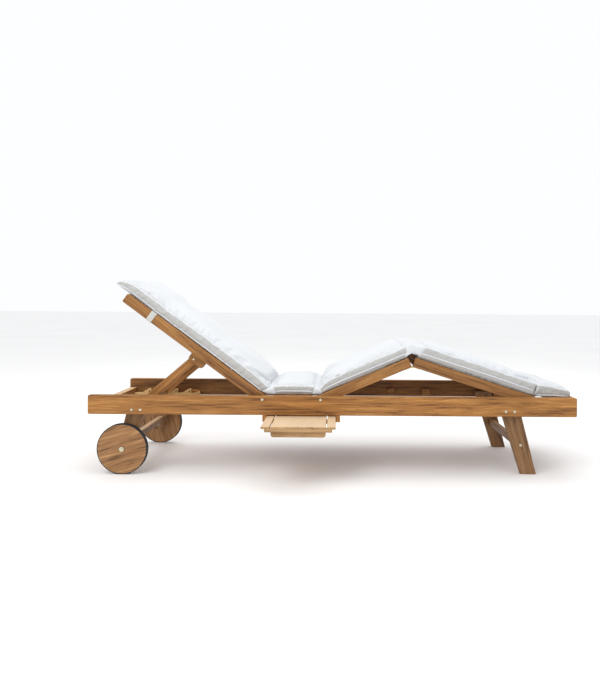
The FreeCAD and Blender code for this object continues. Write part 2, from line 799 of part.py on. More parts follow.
def tray():
    top_z = "tray_top - tray_board"
    side_size = ("tray_side_board", "tray_length", "tray_board")
    side_boards = [board(side_size, (x, TRAY_FRONT, top_z), "slat_round")
                   for x in ("0", "tray_width - tray_side_board")]
    group("tray_side_boards", side_boards, TRAY)
    inset = "(tray_side_board + tray_slot)"
    centre_size = ("tray_width - 2 * " + inset, "tray_length", "tray_board")
    group("tray_centre_board", [board(centre_size, (inset, TRAY_FRONT, top_z), "slat_round")], TRAY)
    batten_z = top_z + " - tray_batten"
    batten_size = ("tray_width - 2 * tray_batten_inset", "tray_batten_depth", "tray_batten")
    starts = [TRAY_FRONT + " + %s * (tray_length - tray_batten_depth)" % part
              for part in ("0", "0.5", "1")]
    battens = [board(batten_size, ("tray_batten_inset", y, batten_z), "slat_round") for y in starts]
    group("tray_battens", battens, TRAY)
    left = "(tray_width - grip_length) / 2"
    outline = rectangle(left, left + " + grip_length", batten_z + " - grip_height", batten_z)
    grip = prism(outline, "grip_depth", TRAY_FRONT + " + slat_round", ((0, 1), "grip_corner"),
                 rim="slat_round")
    group("tray_grip", [grip], TRAY)


def tray_runners():
    """Runners under the rails, each with a lip that the tray's side board slides on."""
    lip_top = "runner_low + runner_lip_height"
    places = {
        "head": ("tray_start - runner_gap", -1),
        "foot": ("tray_start + tray_width + runner_gap", 1),
    }
    for name, (wall, outward) in places.items():
        sign = "+" if outward > 0 else "-"
        back = "-" if outward > 0 else "+"
        far = "%s %s runner_width" % (wall, sign)
        lip = "%s %s runner_lip" % (wall, back)
        outline = [(far, "runner_low"), (lip, "runner_low"), (lip, lip_top), (wall, lip_top),
                   (wall, "rail_low"), (far, "rail_low")]
        runner = prism(outline, "outer_width - 2 * runner_gap", "-outer_width / 2 + runner_gap",
                       rim=None)
        group("tray_runner_" + name, [runner], CHASSIS)


side_rails()
cross_rails()
fixed_slats()
ratchets()
panel_rests()
legs()
frame_bolts()
axles_and_wheels()
tray_runners()
backrest()
prop()
thigh_panel()
foot_panel()
knee_hinges()
fixed_cushions()
tray()
doc.recompute()

faults = [thing.Label for thing in doc.Objects
          if "Invalid" in thing.State or "Error" in thing.State]
faults += [node.Label for node in nodes if node.Shape.isNull() or not node.Shape.isValid()]
if faults:
    raise SystemExit("failed: " + ", ".join(sorted(set(faults))))

os.makedirs("parts", exist_ok=True)
for node in nodes:
    node.Shape.exportStep(os.path.join("parts", node.Label + ".step"))
    solids = len(node.Shape.Solids)
    print("%-32s %2d solids %10.1f cm3" % (node.Label, solids, node.Shape.Volume / 1000))
print(len(nodes), "nodes")
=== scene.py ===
import json
import math
import bpy
import bmesh
from mathutils import Matrix, Vector, noise
from mathutils.bvhtree import BVHTree


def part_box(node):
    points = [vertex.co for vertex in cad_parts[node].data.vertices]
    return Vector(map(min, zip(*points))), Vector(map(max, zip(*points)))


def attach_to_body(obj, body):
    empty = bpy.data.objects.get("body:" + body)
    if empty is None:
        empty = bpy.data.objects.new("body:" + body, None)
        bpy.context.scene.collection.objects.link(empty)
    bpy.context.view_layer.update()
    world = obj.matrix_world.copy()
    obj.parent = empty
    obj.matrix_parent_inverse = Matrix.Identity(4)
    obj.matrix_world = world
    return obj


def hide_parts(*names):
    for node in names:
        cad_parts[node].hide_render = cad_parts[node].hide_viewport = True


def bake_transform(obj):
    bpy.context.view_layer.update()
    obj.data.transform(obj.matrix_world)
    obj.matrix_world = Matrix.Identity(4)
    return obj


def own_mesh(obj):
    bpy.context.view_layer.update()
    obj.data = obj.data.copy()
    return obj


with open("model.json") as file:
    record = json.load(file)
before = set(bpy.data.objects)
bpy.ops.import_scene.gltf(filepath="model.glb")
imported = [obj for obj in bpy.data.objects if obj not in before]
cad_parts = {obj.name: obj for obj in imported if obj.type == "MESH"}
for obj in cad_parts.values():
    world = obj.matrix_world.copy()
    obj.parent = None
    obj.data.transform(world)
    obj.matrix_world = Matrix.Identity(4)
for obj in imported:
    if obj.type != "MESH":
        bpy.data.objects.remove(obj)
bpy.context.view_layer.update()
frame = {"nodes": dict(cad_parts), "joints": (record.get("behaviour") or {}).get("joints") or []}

SCENE = bpy.context.scene

# ---------------------------------------------------------------- places, from the frame

JOINTS = {joint["name"]: joint for joint in frame["joints"]}
MID_Y = JOINTS["backrest_hinge"]["pos_m"][1]
SIDES = {"right": -1, "left": 1}

# Rest angles of the panels, as turns about +Y.
BACK_TURN = math.radians(36.2)
THIGH_TURN = math.radians(-23.2)
FOOT_TURN = math.radians(17.885)


class Panel:
    """A tilting panel's own axes: x along it, y across, z out of its top, origin at its hinge."""

    def __init__(self, joint, turn):
        x, _, z = JOINTS[joint]["pos_m"]
        self.matrix = Matrix.Translation((x, MID_Y, z)) @ Matrix.Rotation(turn, 4, "Y")

    def at(self, x, y, z):
        return self.matrix @ Vector((x, y, z))


BACK = Panel("backrest_hinge", BACK_TURN)
THIGH = Panel("thigh_hinge", THIGH_TURN)
FOOT = Panel("knee_hinge", FOOT_TURN)
LEVEL = Panel("backrest_hinge", 0)


def local_box(node, panel):
    """A CAD node's box in a panel's own axes."""
    inverse = panel.matrix.inverted()
    points = [inverse @ vertex.co for vertex in frame["nodes"][node].data.vertices]
    low = Vector([min(point[axis] for point in points) for axis in range(3)])
    high = Vector([max(point[axis] for point in points) for axis in range(3)])
    return low, high


# ---------------------------------------------------------------- node-based materials

class Shader:
    """A material under construction: makes nodes and links them."""

    def __init__(self, name):
        self.material = bpy.data.materials.new(name)
        self.material.use_nodes = True
        self.tree = self.material.node_tree
        self.surface = self.tree.nodes["Principled BSDF"]

    def node(self, kind, inputs=None, **settings):
        made = self.tree.nodes.new("ShaderNode" + kind)
        for key, setting in settings.items():
            setattr(made, key, setting)
        for key, source in (inputs or {}).items():
            self.feed(made.inputs[key], source)
        return made

    def feed(self, socket, source):
        if isinstance(source, bpy.types.NodeSocket):
            self.tree.links.new(source, socket)
        else:
            socket.default_value = source

    def place(self, turn=0.0, stretch=(1, 1, 1), shift=(0, 0, 0)):
        """The object's own coordinates, turned about Y so that texture X lies along the grain."""
        where = self.node("TexCoord").outputs["Object"]
        turned = self.node("Mapping", {"Vector": where, "Rotation": (0, -turn, 0)},
                           vector_type="POINT").outputs[0]
        return self.node("Mapping", {"Vector": turned, "Location": shift, "Scale": stretch},
                         vector_type="POINT").outputs[0]

    def noise(self, vector, scale, detail=3.0, rough=0.5, distort=0.0):
        return self.node("TexNoise", {"Vector": vector, "Scale": scale, "Detail": detail,
                                      "Roughness": rough, "Distortion": distort}).outputs["Fac"]

    def ramp(self, source, stops, mode="LINEAR"):
        made = self.node("ValToRGB", {"Fac": source})
        band = made.color_ramp
        band.interpolation = mode
        while len(band.elements) < len(stops):
            band.elements.new(0.5)
        for element, (spot, colour) in zip(band.elements, stops):
            element.position = spot
            element.color = colour if len(colour) == 4 else (*colour, 1)
        return made.outputs["Color"]

    def level(self, source, low, high, out_low=0.0, out_high=1.0):
        """Stretch a number from one range to another, clamped."""
        return self.node("MapRange", {"Value": source, "From Min": low, "From Max": high,
                                      "To Min": out_low, "To Max": out_high}).outputs["Result"]

    def math(self, operation, first, second=0.0):
        made = self.node("Math", operation=operation)
        self.feed(made.inputs[0], first)
        self.feed(made.inputs[1], second)
        return made.outputs[0]

    def mix(self, factor, first, second, blend="MIX"):
        made = self.node("Mix", data_type="RGBA", blend_type=blend)
        self.feed(made.inputs["Factor"], factor)
        self.feed(made.inputs["A"], first if not isinstance(first, tuple) else (*first, 1))
        self.feed(made.inputs["B"], second if not isinstance(second, tuple) else (*second, 1))
        return made.outputs["Result"]

    def bump(self, height, distance, strength=1.0, before=None):
        made = self.node("Bump", {"Height": height, "Distance": distance, "Strength": strength})
        if before is not None:
            self.feed(made.inputs["Normal"], before)
        return made.outputs["Normal"]

    def finish(self, **sockets):
        names = {"color": "Base Color", "rough": "Roughness", "normal": "Normal",
                 "metal": "Metallic", "sheen": "Sheen Weight", "coat": "Coat Weight",
                 "specular": "Specular IOR Level", "sheen_rough": "Sheen Roughness",
                 "coat_rough": "Coat Roughness"}
        for key, source in sockets.items():
            self.feed(self.surface.inputs[names[key]], source)
        return self.material


def edge_wear(shader, radius):
    """1 on edges and corners, 0 on flat faces, from the bevel node's bent normal."""
    bent = shader.node("Bevel", {"Radius": radius}, samples=4).outputs["Normal"]
    flat = shader.node("NewGeometry").outputs["Normal"]
    dot = shader.node("VectorMath", {0: bent, 1: flat}, operation="DOT_PRODUCT").outputs["Value"]
    return shader.level(dot, 0.995, 0.90)


def wood(name, turn=0.0, axis="x", dark=(0.16, 0.066, 0.022), mid=(0.33, 0.148, 0.048),
         light=(0.46, 0.235, 0.09), seed=0.0, painted_sunlight=None, painted_shade_side=0):
    """Oiled hardwood: long grain streaks, growth lines, pores, worn edges and, with a sunlight
    colour, upper faces made lighter as painted sunlight. With the last argument at 1 or -1, the
    faces towards +Y or -Y are made darker as painted shade. The grain runs along the turned X, or Y or
    Z."""
    shader = Shader(name)
    along, across = 1.0, 19.0
    stretch = {"x": (along, across, across), "y": (across, along, across),
               "z": (across, across, along)}[axis]
    place = shader.place(turn, stretch, (seed, seed * 0.7, seed * 1.3))
    wander = shader.node("TexNoise", {"Vector": place, "Scale": 0.45, "Detail": 2.0})
    bent = shader.node("VectorMath", {0: wander.outputs["Color"], 1: (0.8, 0.8, 0.8)},
                       operation="MULTIPLY").outputs["Vector"]
    bent = shader.node("VectorMath", {0: place, 1: bent}, operation="ADD").outputs["Vector"]
    streak = shader.noise(bent, 2.2, 4.0, 0.60)
    bands = shader.noise(bent, 9.5, 5.0, 0.62, 0.2)
    fibres = shader.noise(bent, 24.0, 3.0, 0.65)
    tone = shader.math("ADD", shader.math("MULTIPLY", streak, 0.50),
                       shader.math("MULTIPLY", bands, 0.50))
    colour = shader.ramp(tone, [(0.40, dark), (0.48, mid), (0.52, mid), (0.60, light)])
    lines = shader.level(bands, 0.60, 0.70)
    colour = shader.mix(shader.math("MULTIPLY", lines, 0.40), colour, dark)
    pores = shader.level(fibres, 0.58, 0.70)
    colour = shader.mix(shader.math("MULTIPLY", pores, 0.40), colour, dark)
    patches = shader.noise(shader.place(0, (1, 1, 1), (seed, 3.0, seed)), 2.6, 2.0)
    patch_tone_and_painted_shade = shader.level(patches, 0.3, 0.7, 0.92, 1.08)
    colour = shader.node("HueSaturation", {"Color": colour, "Value": patch_tone_and_painted_shade}).outputs["Color"]
    # Painted sunlight: upward faces are made lighter towards the given colour.
    if painted_sunlight:
        facing = shader.node("SeparateXYZ", {"Vector": shader.node("TexCoord").outputs["Normal"]})
        painted_sunlight_share = shader.level(facing.outputs["Z"], 0.6, 0.95, 0.0, 0.8)
        colour = shader.mix(painted_sunlight_share, colour, painted_sunlight)
    # Painted shade: faces turned towards the chosen side of Y are darkened.
    if painted_shade_side:
        facing = shader.node("SeparateXYZ", {"Vector": shader.node("TexCoord").outputs["Normal"]})
        painted_shade_facing = shader.math("MULTIPLY", facing.outputs["Y"], painted_shade_side)
        patch_tone_and_painted_shade = shader.level(painted_shade_facing, 0.6, 0.95, 1.0, INNER_PAINTED_SHADE)
        colour = shader.node("HueSaturation", {"Color": colour, "Value": patch_tone_and_painted_shade}).outputs["Color"]
    wear = edge_wear(shader, 0.003)
    colour = shader.mix(shader.math("MULTIPLY", wear, 0.35), colour, light)
    rough = shader.level(streak, 0.3, 0.7, 0.50, 0.66)
    height = shader.math("ADD", shader.math("MULTIPLY", fibres, 0.5), bands)
    normal = shader.bump(height, 0.0006, 0.5)
    return shader.finish(color=colour, rough=rough, normal=normal, specular=0.3)


def metal(name, tone, rough, spots, metallic=0.9):
    """Plated or drawn metal with dull spots and fine scratches."""
    shader = Shader(name)
    place = shader.place()
    cloud = shader.noise(place, 60.0, 4.0)
    colour = shader.mix(shader.level(cloud, 0.45, 0.7), tone, spots)
    scratch = shader.noise(shader.place(0, (1, 1, 14)), 220.0, 2.0)
    return shader.finish(color=colour, rough=shader.level(cloud, 0.3, 0.7, rough - 0.08, rough + 0.12),
                         normal=shader.bump(scratch, 0.0001, 0.4), metal=metallic)


def rubber(name):
    shader = Shader(name)
    dust = shader.noise(shader.place(), 45.0, 4.0)
    colour = shader.mix(shader.level(dust, 0.5, 0.75), (0.006, 0.007, 0.011), (0.022, 0.022, 0.026))
    grain = shader.noise(shader.place(), 700.0, 2.0)
    return shader.finish(color=colour, rough=shader.level(dust, 0.3, 0.7, 0.62, 0.80),
                         normal=shader.bump(grain, 0.0002, 0.5))


def cloth(name, turn, tone, warm, pitch=0.0016, side=None):
    """Plain-woven polyester: crossing threads, soft slubs and a faint unevenness of the dye. With
    a side colour, the faces towards Y take it: a greyer side fabric with painted shade on it."""
    shader = Shader(name)
    where = shader.place(turn)
    parts = shader.node("SeparateXYZ", {"Vector": where})
    waves = []
    for axis in ("X", "Y"):
        count = shader.math("MULTIPLY", parts.outputs[axis], 2 * math.pi / pitch)
        waves.append(shader.math("ABSOLUTE", shader.math("SINE", count)))
    weave = shader.math("MULTIPLY", waves[0], waves[1])
    slub = shader.noise(shader.place(turn, (1, 9, 1)), 70.0, 3.0)
    cloud = shader.noise(shader.place(turn), 5.0, 3.0)
    colour = shader.mix(shader.level(cloud, 0.35, 0.7), tone, warm)
    colour = shader.mix(shader.math("MULTIPLY", shader.level(slub, 0.55, 0.8), 0.25), colour,
                        tuple(part * 0.86 for part in tone))
    # Side fabric and painted shade: faces turned along Y, on the sides and on steep creases alike,
    # take the darker side colour.
    if side:
        facing = shader.node("SeparateXYZ", {"Vector": shader.node("TexCoord").outputs["Normal"]})
        side_fabric_and_painted_shade_share = shader.level(shader.math("ABSOLUTE", facing.outputs["Y"]), 0.70, 0.86)
        colour = shader.mix(side_fabric_and_painted_shade_share, colour, side)
    creases = shader.noise(shader.place(turn, (1, 3, 1)), 16.0, 4.0, 0.6)
    normal = shader.bump(creases, 0.0030, 0.30)
    normal = shader.bump(weave, 0.0002, 0.35, normal)
    return shader.finish(color=colour, rough=shader.level(slub, 0.3, 0.8, 0.86, 0.95),
                         normal=normal, sheen=0.18, specular=0.2)


# ---------------------------------------------------------------- materials of the CAD nodes

RAIL = dict(dark=(0.150, 0.060, 0.018), mid=(0.335, 0.145, 0.037), light=(0.50, 0.240, 0.070))
STILE = dict(dark=(0.110, 0.046, 0.015), mid=(0.280, 0.125, 0.036), light=(0.41, 0.205, 0.066))
# How dark the painted shade on the rails' inner faces is.
INNER_PAINTED_SHADE = 0.56
LEG = dict(dark=(0.100, 0.047, 0.020), mid=(0.225, 0.115, 0.048), light=(0.33, 0.185, 0.085))
# Ratchet wood, made lighter all over as painted sunlight, and lighter still on its top faces as
# painted sunlight.
PAINTED_SUNLIT_PALE = dict(dark=(0.34, 0.180, 0.060), mid=(0.60, 0.370, 0.145), light=(0.72, 0.480, 0.220),
            painted_sunlight=(0.78, 0.560, 0.300))
# Tray wood; its top faces take painted sunlight.
TRAY = dict(dark=(0.25, 0.130, 0.055), mid=(0.43, 0.255, 0.115), light=(0.54, 0.350, 0.180),
            painted_sunlight=(0.70, 0.530, 0.350))
DISC = dict(dark=(0.080, 0.038, 0.016), mid=(0.300, 0.150, 0.060), light=(0.50, 0.280, 0.125))
# Colour of the painted sunlight on the top faces of the head cross rail and the stretchers.
PAINTED_SUNLIGHT_TONE = (0.74, 0.520, 0.310)

HEAD_LEG_LEAN = math.radians(106.5)
FOOT_LEG_LEAN = math.radians(74.0)


def dress(material, *nodes):
    for name in nodes:
        slots = frame["nodes"][name].data.materials
        slots.clear()
        slots.append(material)


def dress_wood():
    for number, side in enumerate(SIDES):
        # Each rail's inner face gets painted shade.
        dress(wood("rail_wood_" + side, seed=3.1 + 7 * number, painted_shade_side=(1, -1)[number], **RAIL),
              "side_rail_" + side)
        dress(wood("head_leg_wood_" + side, HEAD_LEG_LEAN, seed=11.0 + number, **LEG),
              "wheel_leg_" + side)
        dress(wood("foot_leg_wood_" + side, FOOT_LEG_LEAN, seed=15.0 + number, **LEG),
              "foot_leg_" + side)
        dress(wood("back_stile_wood_" + side, BACK_TURN, seed=21.0 + 3 * number, **STILE),
              "backrest_stile_" + side)
        dress(wood("thigh_stile_wood_" + side, THIGH_TURN, seed=31.0 + 3 * number, **STILE),
              "thigh_stile_" + side)
        dress(wood("foot_stile_wood_" + side, FOOT_TURN, seed=41.0 + 3 * number, **STILE),
              "foot_stile_" + side)
        dress(wood("prop_wood_" + side, math.radians(-40.7), seed=51.0 + 3 * number, **RAIL),
              "prop_arm_" + side)
        dress(wood("disc_wood_" + side, math.radians(73 if number else -17),
                   seed=61.0 + 5 * number, **DISC), "wheel_disc_" + side)
        dress(wood("ratchet_wood_" + side, seed=71.0 + 5 * number, **PAINTED_SUNLIT_PALE), "ratchet_" + side)
    dress(wood("cross_wood", axis="y", seed=81.0, painted_sunlight=PAINTED_SUNLIGHT_TONE, **RAIL), "head_cross_rail")
    dress(wood("hidden_wood", axis="y", seed=86.0, **RAIL), "foot_cross_rail", "seat_slats",
          "end_slats", "tray_runner_head", "tray_runner_foot")
    dress(wood("block_wood", seed=88.0, **RAIL), "slat_cleats", "ratchet_packers",
          "knee_ledges", "rest_blocks")
    dress(wood("stretcher_wood", axis="y", seed=91.0, painted_sunlight=PAINTED_SUNLIGHT_TONE, **LEG), "wheel_stretcher",
          "foot_stretcher")
    dress(wood("slat_wood", axis="y", seed=95.0, **RAIL), "backrest_slats", "backrest_braces",
          "thigh_slats", "thigh_braces", "foot_slats", "foot_braces", "prop_bar")
    dress(wood("bracket_wood", BACK_TURN, seed=99.0, **STILE), "prop_brackets")
    dress(wood("tray_wood", axis="y", seed=103.0, **TRAY), "tray_side_boards",
          "tray_centre_board")
    dress(wood("tray_cross_wood", seed=107.0, **TRAY), "tray_battens", "tray_grip")


def dress_metal():
    zinc = metal("yellow_zinc", (0.66, 0.63, 0.48), 0.36, (0.45, 0.42, 0.31))
    dress(zinc, "frame_bolts", "pivot_bolts", "prop_bolts", "hub_caps")
    dress(metal("steel", (0.56, 0.56, 0.55), 0.38, (0.42, 0.41, 0.39)), "pivot_washers", "axles",
          "wheel_spacers")
    dress(metal("blackened", (0.05, 0.045, 0.04), 0.5, (0.10, 0.08, 0.06), 0.7), "ratchet_screws")
    dress(metal("brass", (0.72, 0.50, 0.20), 0.32, (0.55, 0.36, 0.14)),
          "knee_hinge_thigh_leaves", "knee_hinge_foot_leaves", "knee_hinge_pins")
    dress(rubber("tyre_rubber"), "tyre_right", "tyre_left")


dress_wood()
dress_metal()

# ---------------------------------------------------------------- cushion

WHITE = (0.650, 0.675, 0.705)
CREAM = (0.620, 0.635, 0.655)
# A greyer side fabric, darkened further as painted shade.
SIDE_FABRIC_AND_PAINTED_SHADE = (0.470, 0.472, 0.462)
FABRICS = {
    "back": cloth("back_fabric", BACK_TURN, WHITE, CREAM, side=SIDE_FABRIC_AND_PAINTED_SHADE),
    "seat": cloth("seat_fabric", 0.0, WHITE, CREAM, side=SIDE_FABRIC_AND_PAINTED_SHADE),
    "thigh": cloth("thigh_fabric", THIGH_TURN, WHITE, CREAM, side=SIDE_FABRIC_AND_PAINTED_SHADE),
    "foot": cloth("foot_fabric", FOOT_TURN, WHITE, CREAM, side=SIDE_FABRIC_AND_PAINTED_SHADE),
    "fold": cloth("fold_fabric", 0.0, WHITE, CREAM),
}
PIPING_FABRIC = cloth("piping_fabric", 0.0, (0.69, 0.71, 0.74), (0.62, 0.65, 0.70), pitch=0.0009)
WEBBING = cloth("webbing", BACK_TURN, (0.60, 0.60, 0.57), (0.52, 0.52, 0.50), pitch=0.0011)
THREAD = cloth("thread", 0.0, (0.50, 0.53, 0.57), (0.45, 0.48, 0.52), pitch=0.0008)

GRID = 0.012
PIPING = 0.0030
HALF_WIDTH = 0.252


def add_mesh(name, vertices, faces, material):
    mesh = bpy.data.meshes.new(name)
    mesh.from_pydata(vertices, [], faces)
    mesh.validate()
    mesh.update()
    made = bpy.data.objects.new(name, mesh)
    SCENE.collection.objects.link(made)
    mesh.materials.append(material)
    mesh.shade_smooth()
    return made


def box_grid(counts):
    """Vertices of a box's surface as (u, v, w) from 0 to 1, and the faces between them."""
    index = {}
    points = []
    faces = []

    def number(key):
        if key not in index:
            index[key] = len(points)
            points.append(tuple(part / count for part, count in zip(key, counts)))
        return index[key]

    for axis in range(3):
        first, second = (axis + 1) % 3, (axis + 2) % 3
        for level in (0, counts[axis]):
            for i in range(counts[first]):
                for j in range(counts[second]):
                    corners = []
                    for di, dj in ((0, 0), (1, 0), (1, 1), (0, 1)):
                        key = [0, 0, 0]
                        key[axis], key[first], key[second] = level, i + di, j + dj
                        corners.append(number(tuple(key)))
                    faces.append(corners if level else corners[::-1])
    return points, faces


def along_profile(profile, distance):
    """The height at a distance, between (distance, height) knots."""
    for (x0, z0), (x1, z1) in zip(profile, profile[1:]):
        if distance <= x1:
            share = min(max((distance - x0) / (x1 - x0), 0), 1)
            return z0 + (z1 - z0) * share
    return profile[-1][1]


class Pad:
    """One segment of the cushion, in the axes of the panel that it lies on.

    Its ends run from an x at the base to an x at the top, so they can lean. The top edge of its
    sides follows the profile tall, and the bottom edge the profile lift; a seam with piping runs
    along the sides at the share seam of their height, where they are drawn in.
    """

    def __init__(self, name, panel, floor, start, end, tall, lift, **shape):
        self.name = name
        self.panel = panel
        self.floor = floor
        self.start_low, self.start = start
        self.end_low, self.end = end
        self.length = self.end - self.start
        self.tall = tall
        self.lift = lift
        self.crown = 0.012
        self.pull = 0.004
        self.seam = 0.36
        self.squash = None
        for key, number in shape.items():
            setattr(self, key, number)

    def side_height(self, u):
        return along_profile(self.tall, u * self.length)

    def base_height(self, u, across):
        rising = min(max(0, (abs(across) - 0.975) / 0.02), 1)
        return along_profile(self.lift, u * self.length) * rising

    def surface(self, u, v, w):
        """A point of the plain cushion shape, for u, v and w from 0 to 1."""
        across = 2 * v - 1
        along = 2 * u - 1
        base = self.base_height(u, across)
        top = self.side_height(u) + self.crown * (1 - abs(across) ** 3) * (1 - 0.6 * along ** 8)
        drawn = 0.0045 * math.exp(-((w - self.seam) / 0.10) ** 2) - 0.004 * (1 - (2 * w - 1) ** 4)
        half = HALF_WIDTH - self.pull * (1 - along ** 2) - drawn
        low = self.start_low + (self.end_low - self.start_low) * u
        high = self.start + self.length * u
        return Vector((low + (high - low) * w, half * across, self.floor + base + (top - base) * w))

    def build(self):
        counts = (round(self.length / GRID), round(2 * HALF_WIDTH / GRID), 8)
        points, faces = box_grid(counts)
        spots = [self.surface(*point) for point in points]
        return add_mesh(self.name, spots, faces, self.fabric)

    def rim(self, w, inset=0.0):
        """Points round the sides at the share w of their height, or inside them."""
        du, dv = inset / self.length, inset / (2 * HALF_WIDTH)
        steps_x = round(self.length / 0.01)
        steps_y = round(2 * HALF_WIDTH / 0.01)
        ring = [(i / steps_x, 0.0) for i in range(steps_x)]
        ring += [(1.0, j / steps_y) for j in range(steps_y)]
        ring += [(1 - i / steps_x, 1.0) for i in range(steps_x)]
        ring += [(0.0, 1 - j / steps_y) for j in range(steps_y)]
        return [self.surface(du + u * (1 - 2 * du), dv + v * (1 - 2 * dv), w) for u, v in ring]

    def share(self, point):
        """Where a point lies along the pad, and its share of the side's height."""
        u = min(max((point.x - self.start) / self.length, 0), 1)
        return u, (point.z - self.floor) / self.side_height(u)

    def nearness(self, point):
        """How far a point lies inside the nearest side or end, from above."""
        part = min(max(self.share(point)[1], 0), 1)
        start = self.start_low + (self.start - self.start_low) * part
        end = self.end_low + (self.end - self.end_low) * part
        return min(point.x - start, end - point.x, HALF_WIDTH - abs(point.y))


def settle(made):
    """Make the modifiers' result the mesh itself."""
    graph = bpy.context.evaluated_depsgraph_get()
    graph.update()
    mesh = bpy.data.meshes.new_from_object(made.evaluated_get(graph))
    fabric = made.data.materials[0]
    made.modifiers.clear()
    made.data = mesh
    mesh.materials.clear()
    mesh.materials.append(fabric)
    mesh.shade_smooth()


def even_skin(made, voxel):
    """Rebuild the mesh as an even skin and round its edges."""
    remesh = made.modifiers.new("Remesh", "REMESH")
    remesh.mode = "VOXEL"
    remesh.voxel_size = voxel
    smooth = made.modifiers.new("Smooth", "SMOOTH")
    smooth.factor = 0.5
    smooth.iterations = 3
    settle(made)


def inflate(made, pad):
    """Fill the skin with air as a cloth held at its seams, and cap how far each point moves."""
    before = [vertex.co.copy() for vertex in made.data.vertices]
    held = made.vertex_groups.new(name="seams")
    for vertex in made.data.vertices:
        u, part = pad.share(vertex.co)
        base = pad.base_height(u, vertex.co.y / HALF_WIDTH)
        at_seam = min(abs(part - 1), abs(part - pad.seam)) < 0.14
        near = pad.nearness(vertex.co)
        at_end = near < 0.012 and abs(vertex.co.y) < HALF_WIDTH - 0.02
        if at_end or near < 0.010 and at_seam or vertex.co.z < pad.floor + base + 0.004:
            held.add([vertex.index], 1.0, "REPLACE")
    cover = made.modifiers.new("Cloth", "CLOTH")
    fabric = cover.settings
    fabric.quality = 5
    fabric.mass = 0.25
    fabric.use_pressure = True
    fabric.uniform_pressure_force = 4.0
    fabric.tension_stiffness = 15
    fabric.compression_stiffness = 15
    fabric.shear_stiffness = 5
    fabric.bending_stiffness = 0.5
    fabric.shrink_min = -0.05
    fabric.effector_weights.gravity = 0
    fabric.vertex_group_mass = "seams"
    cover.point_cache.frame_start = 1
    cover.point_cache.frame_end = 20
    for number in range(1, 21):
        SCENE.frame_set(number)
    settle(made)
    SCENE.frame_set(1)
    made.vertex_groups.clear()
    for vertex, start in zip(made.data.vertices, before):
        move = vertex.co - start
        if move.length > pad.swell:
            vertex.co = start + move * (pad.swell / move.length)


def rumple(made, pad):
    """Soft creases, deeper and closer near the seams, that fade towards the base."""
    normals = [vertex.normal.copy() for vertex in made.data.vertices]
    for vertex, normal in zip(made.data.vertices, normals):
        x, y, z = vertex.co
        edge = math.exp(-max(pad.nearness(vertex.co), 0) / 0.04)
        fine = noise.noise(Vector((x * 30 + pad.seed, y * 11, z * 12)))
        broad = noise.noise(Vector((x * 7, y * 4 + pad.seed, 0.5)))
        cross = noise.noise(Vector((x * 14 - pad.seed, y * 34, 2.0)))
        share = min(max(pad.share(vertex.co)[1], 0), 1)
        depth = 0.0016 * fine * (0.3 + edge) + 0.0028 * broad + 0.0013 * cross * (0.4 + edge)
        vertex.co += normal * share * depth
        if share < 0.12 and abs(y) < HALF_WIDTH - 0.006:
            vertex.co.z = pad.floor


def skin_line(made, points, lift):
    """Move a line of points onto the mesh's skin, lifted off it a little."""
    tree = BVHTree.FromObject(made, bpy.context.evaluated_depsgraph_get())
    line = []
    for point in points:
        spot, normal, _, _ = tree.find_nearest(point)
        line.append(spot + normal * lift)
    return line


def relax(line, rounds):
    """Even out a closed line's corners."""
    for _ in range(rounds):
        line = [(line[number - 1] + line[number] * 2 + line[(number + 1) % len(line)]) / 4
                for number in range(len(line))]
    return line


def closed_tube(name, line, radius, material):
    """A round cord of fabric round a closed line, a little uneven in thickness."""
    sides = 8
    count = len(line)
    vertices = []
    faces = []
    for number, point in enumerate(line):
        forward = (line[(number + 1) % count] - line[number - 1]).normalized()
        side = forward.cross(Vector((0, 0, 1))).normalized()
        up = side.cross(forward)
        pucker = 1 + 0.12 * noise.noise(point * 90)
        for step in range(sides):
            angle = 2 * math.pi * step / sides
            offset = side * math.cos(angle) + up * math.sin(angle)
            vertices.append(point + offset * radius * pucker)
    for number in range(count):
        first, second = number * sides, (number + 1) % count * sides
        for step in range(sides):
            following = (step + 1) % sides
            faces.append((first + step, first + following, second + following, second + step))
    return add_mesh(name, vertices, faces, material)


def stitches(name, line, material):
    """A row of short flat stitches along a closed line that lies on the fabric."""
    vertices = []
    faces = []
    for start, end in zip(line, line[1:] + line[:1]):
        forward = (end - start).normalized()
        side = forward.cross(Vector((0, 0, 1))).normalized() * 0.0006
        up = side.cross(forward).normalized() * 0.0006
        base = len(vertices)
        reach = (end - start) * 0.3
        for sign in (-1, 1):
            for offset in (side, up, -side, -up):
                vertices.append((start + end) / 2 + reach * sign + offset)
        for corner in range(4):
            following = (corner + 1) % 4
            faces.append((base + corner, base + following, base + 4 + following, base + 4 + corner))
        faces.append((base + 3, base + 2, base + 1, base))
        faces.append((base + 4, base + 5, base + 6, base + 7))
    return add_mesh(name, vertices, faces, material)


def place_in(piece, matrix):
    piece.data.transform(matrix)
    piece.data.update()


def attach(piece, body):
    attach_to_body(piece, body)


def make_pad(pad):
    """One finished cushion segment with the piping round its sides and its seam stitches."""
    made = pad.build()
    even_skin(made, 0.006)
    inflate(made, pad)
    rumple(made, pad)
    line = relax(skin_line(made, relax(pad.rim(pad.seam), 2), PIPING * 0.4), 2)
    sewn = skin_line(made, relax(pad.rim(1.0, 0.011), 2), 0.0003)
    pieces = [made, closed_tube(pad.name + "_piping", line, PIPING, PIPING_FABRIC),
              stitches(pad.name + "_stitches", sewn, THREAD)]
    for piece in pieces:
        place_in(piece, pad.panel.matrix)
        attach(piece, pad.body)
        if pad.squash:
            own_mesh(piece)
    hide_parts(pad.replaces)


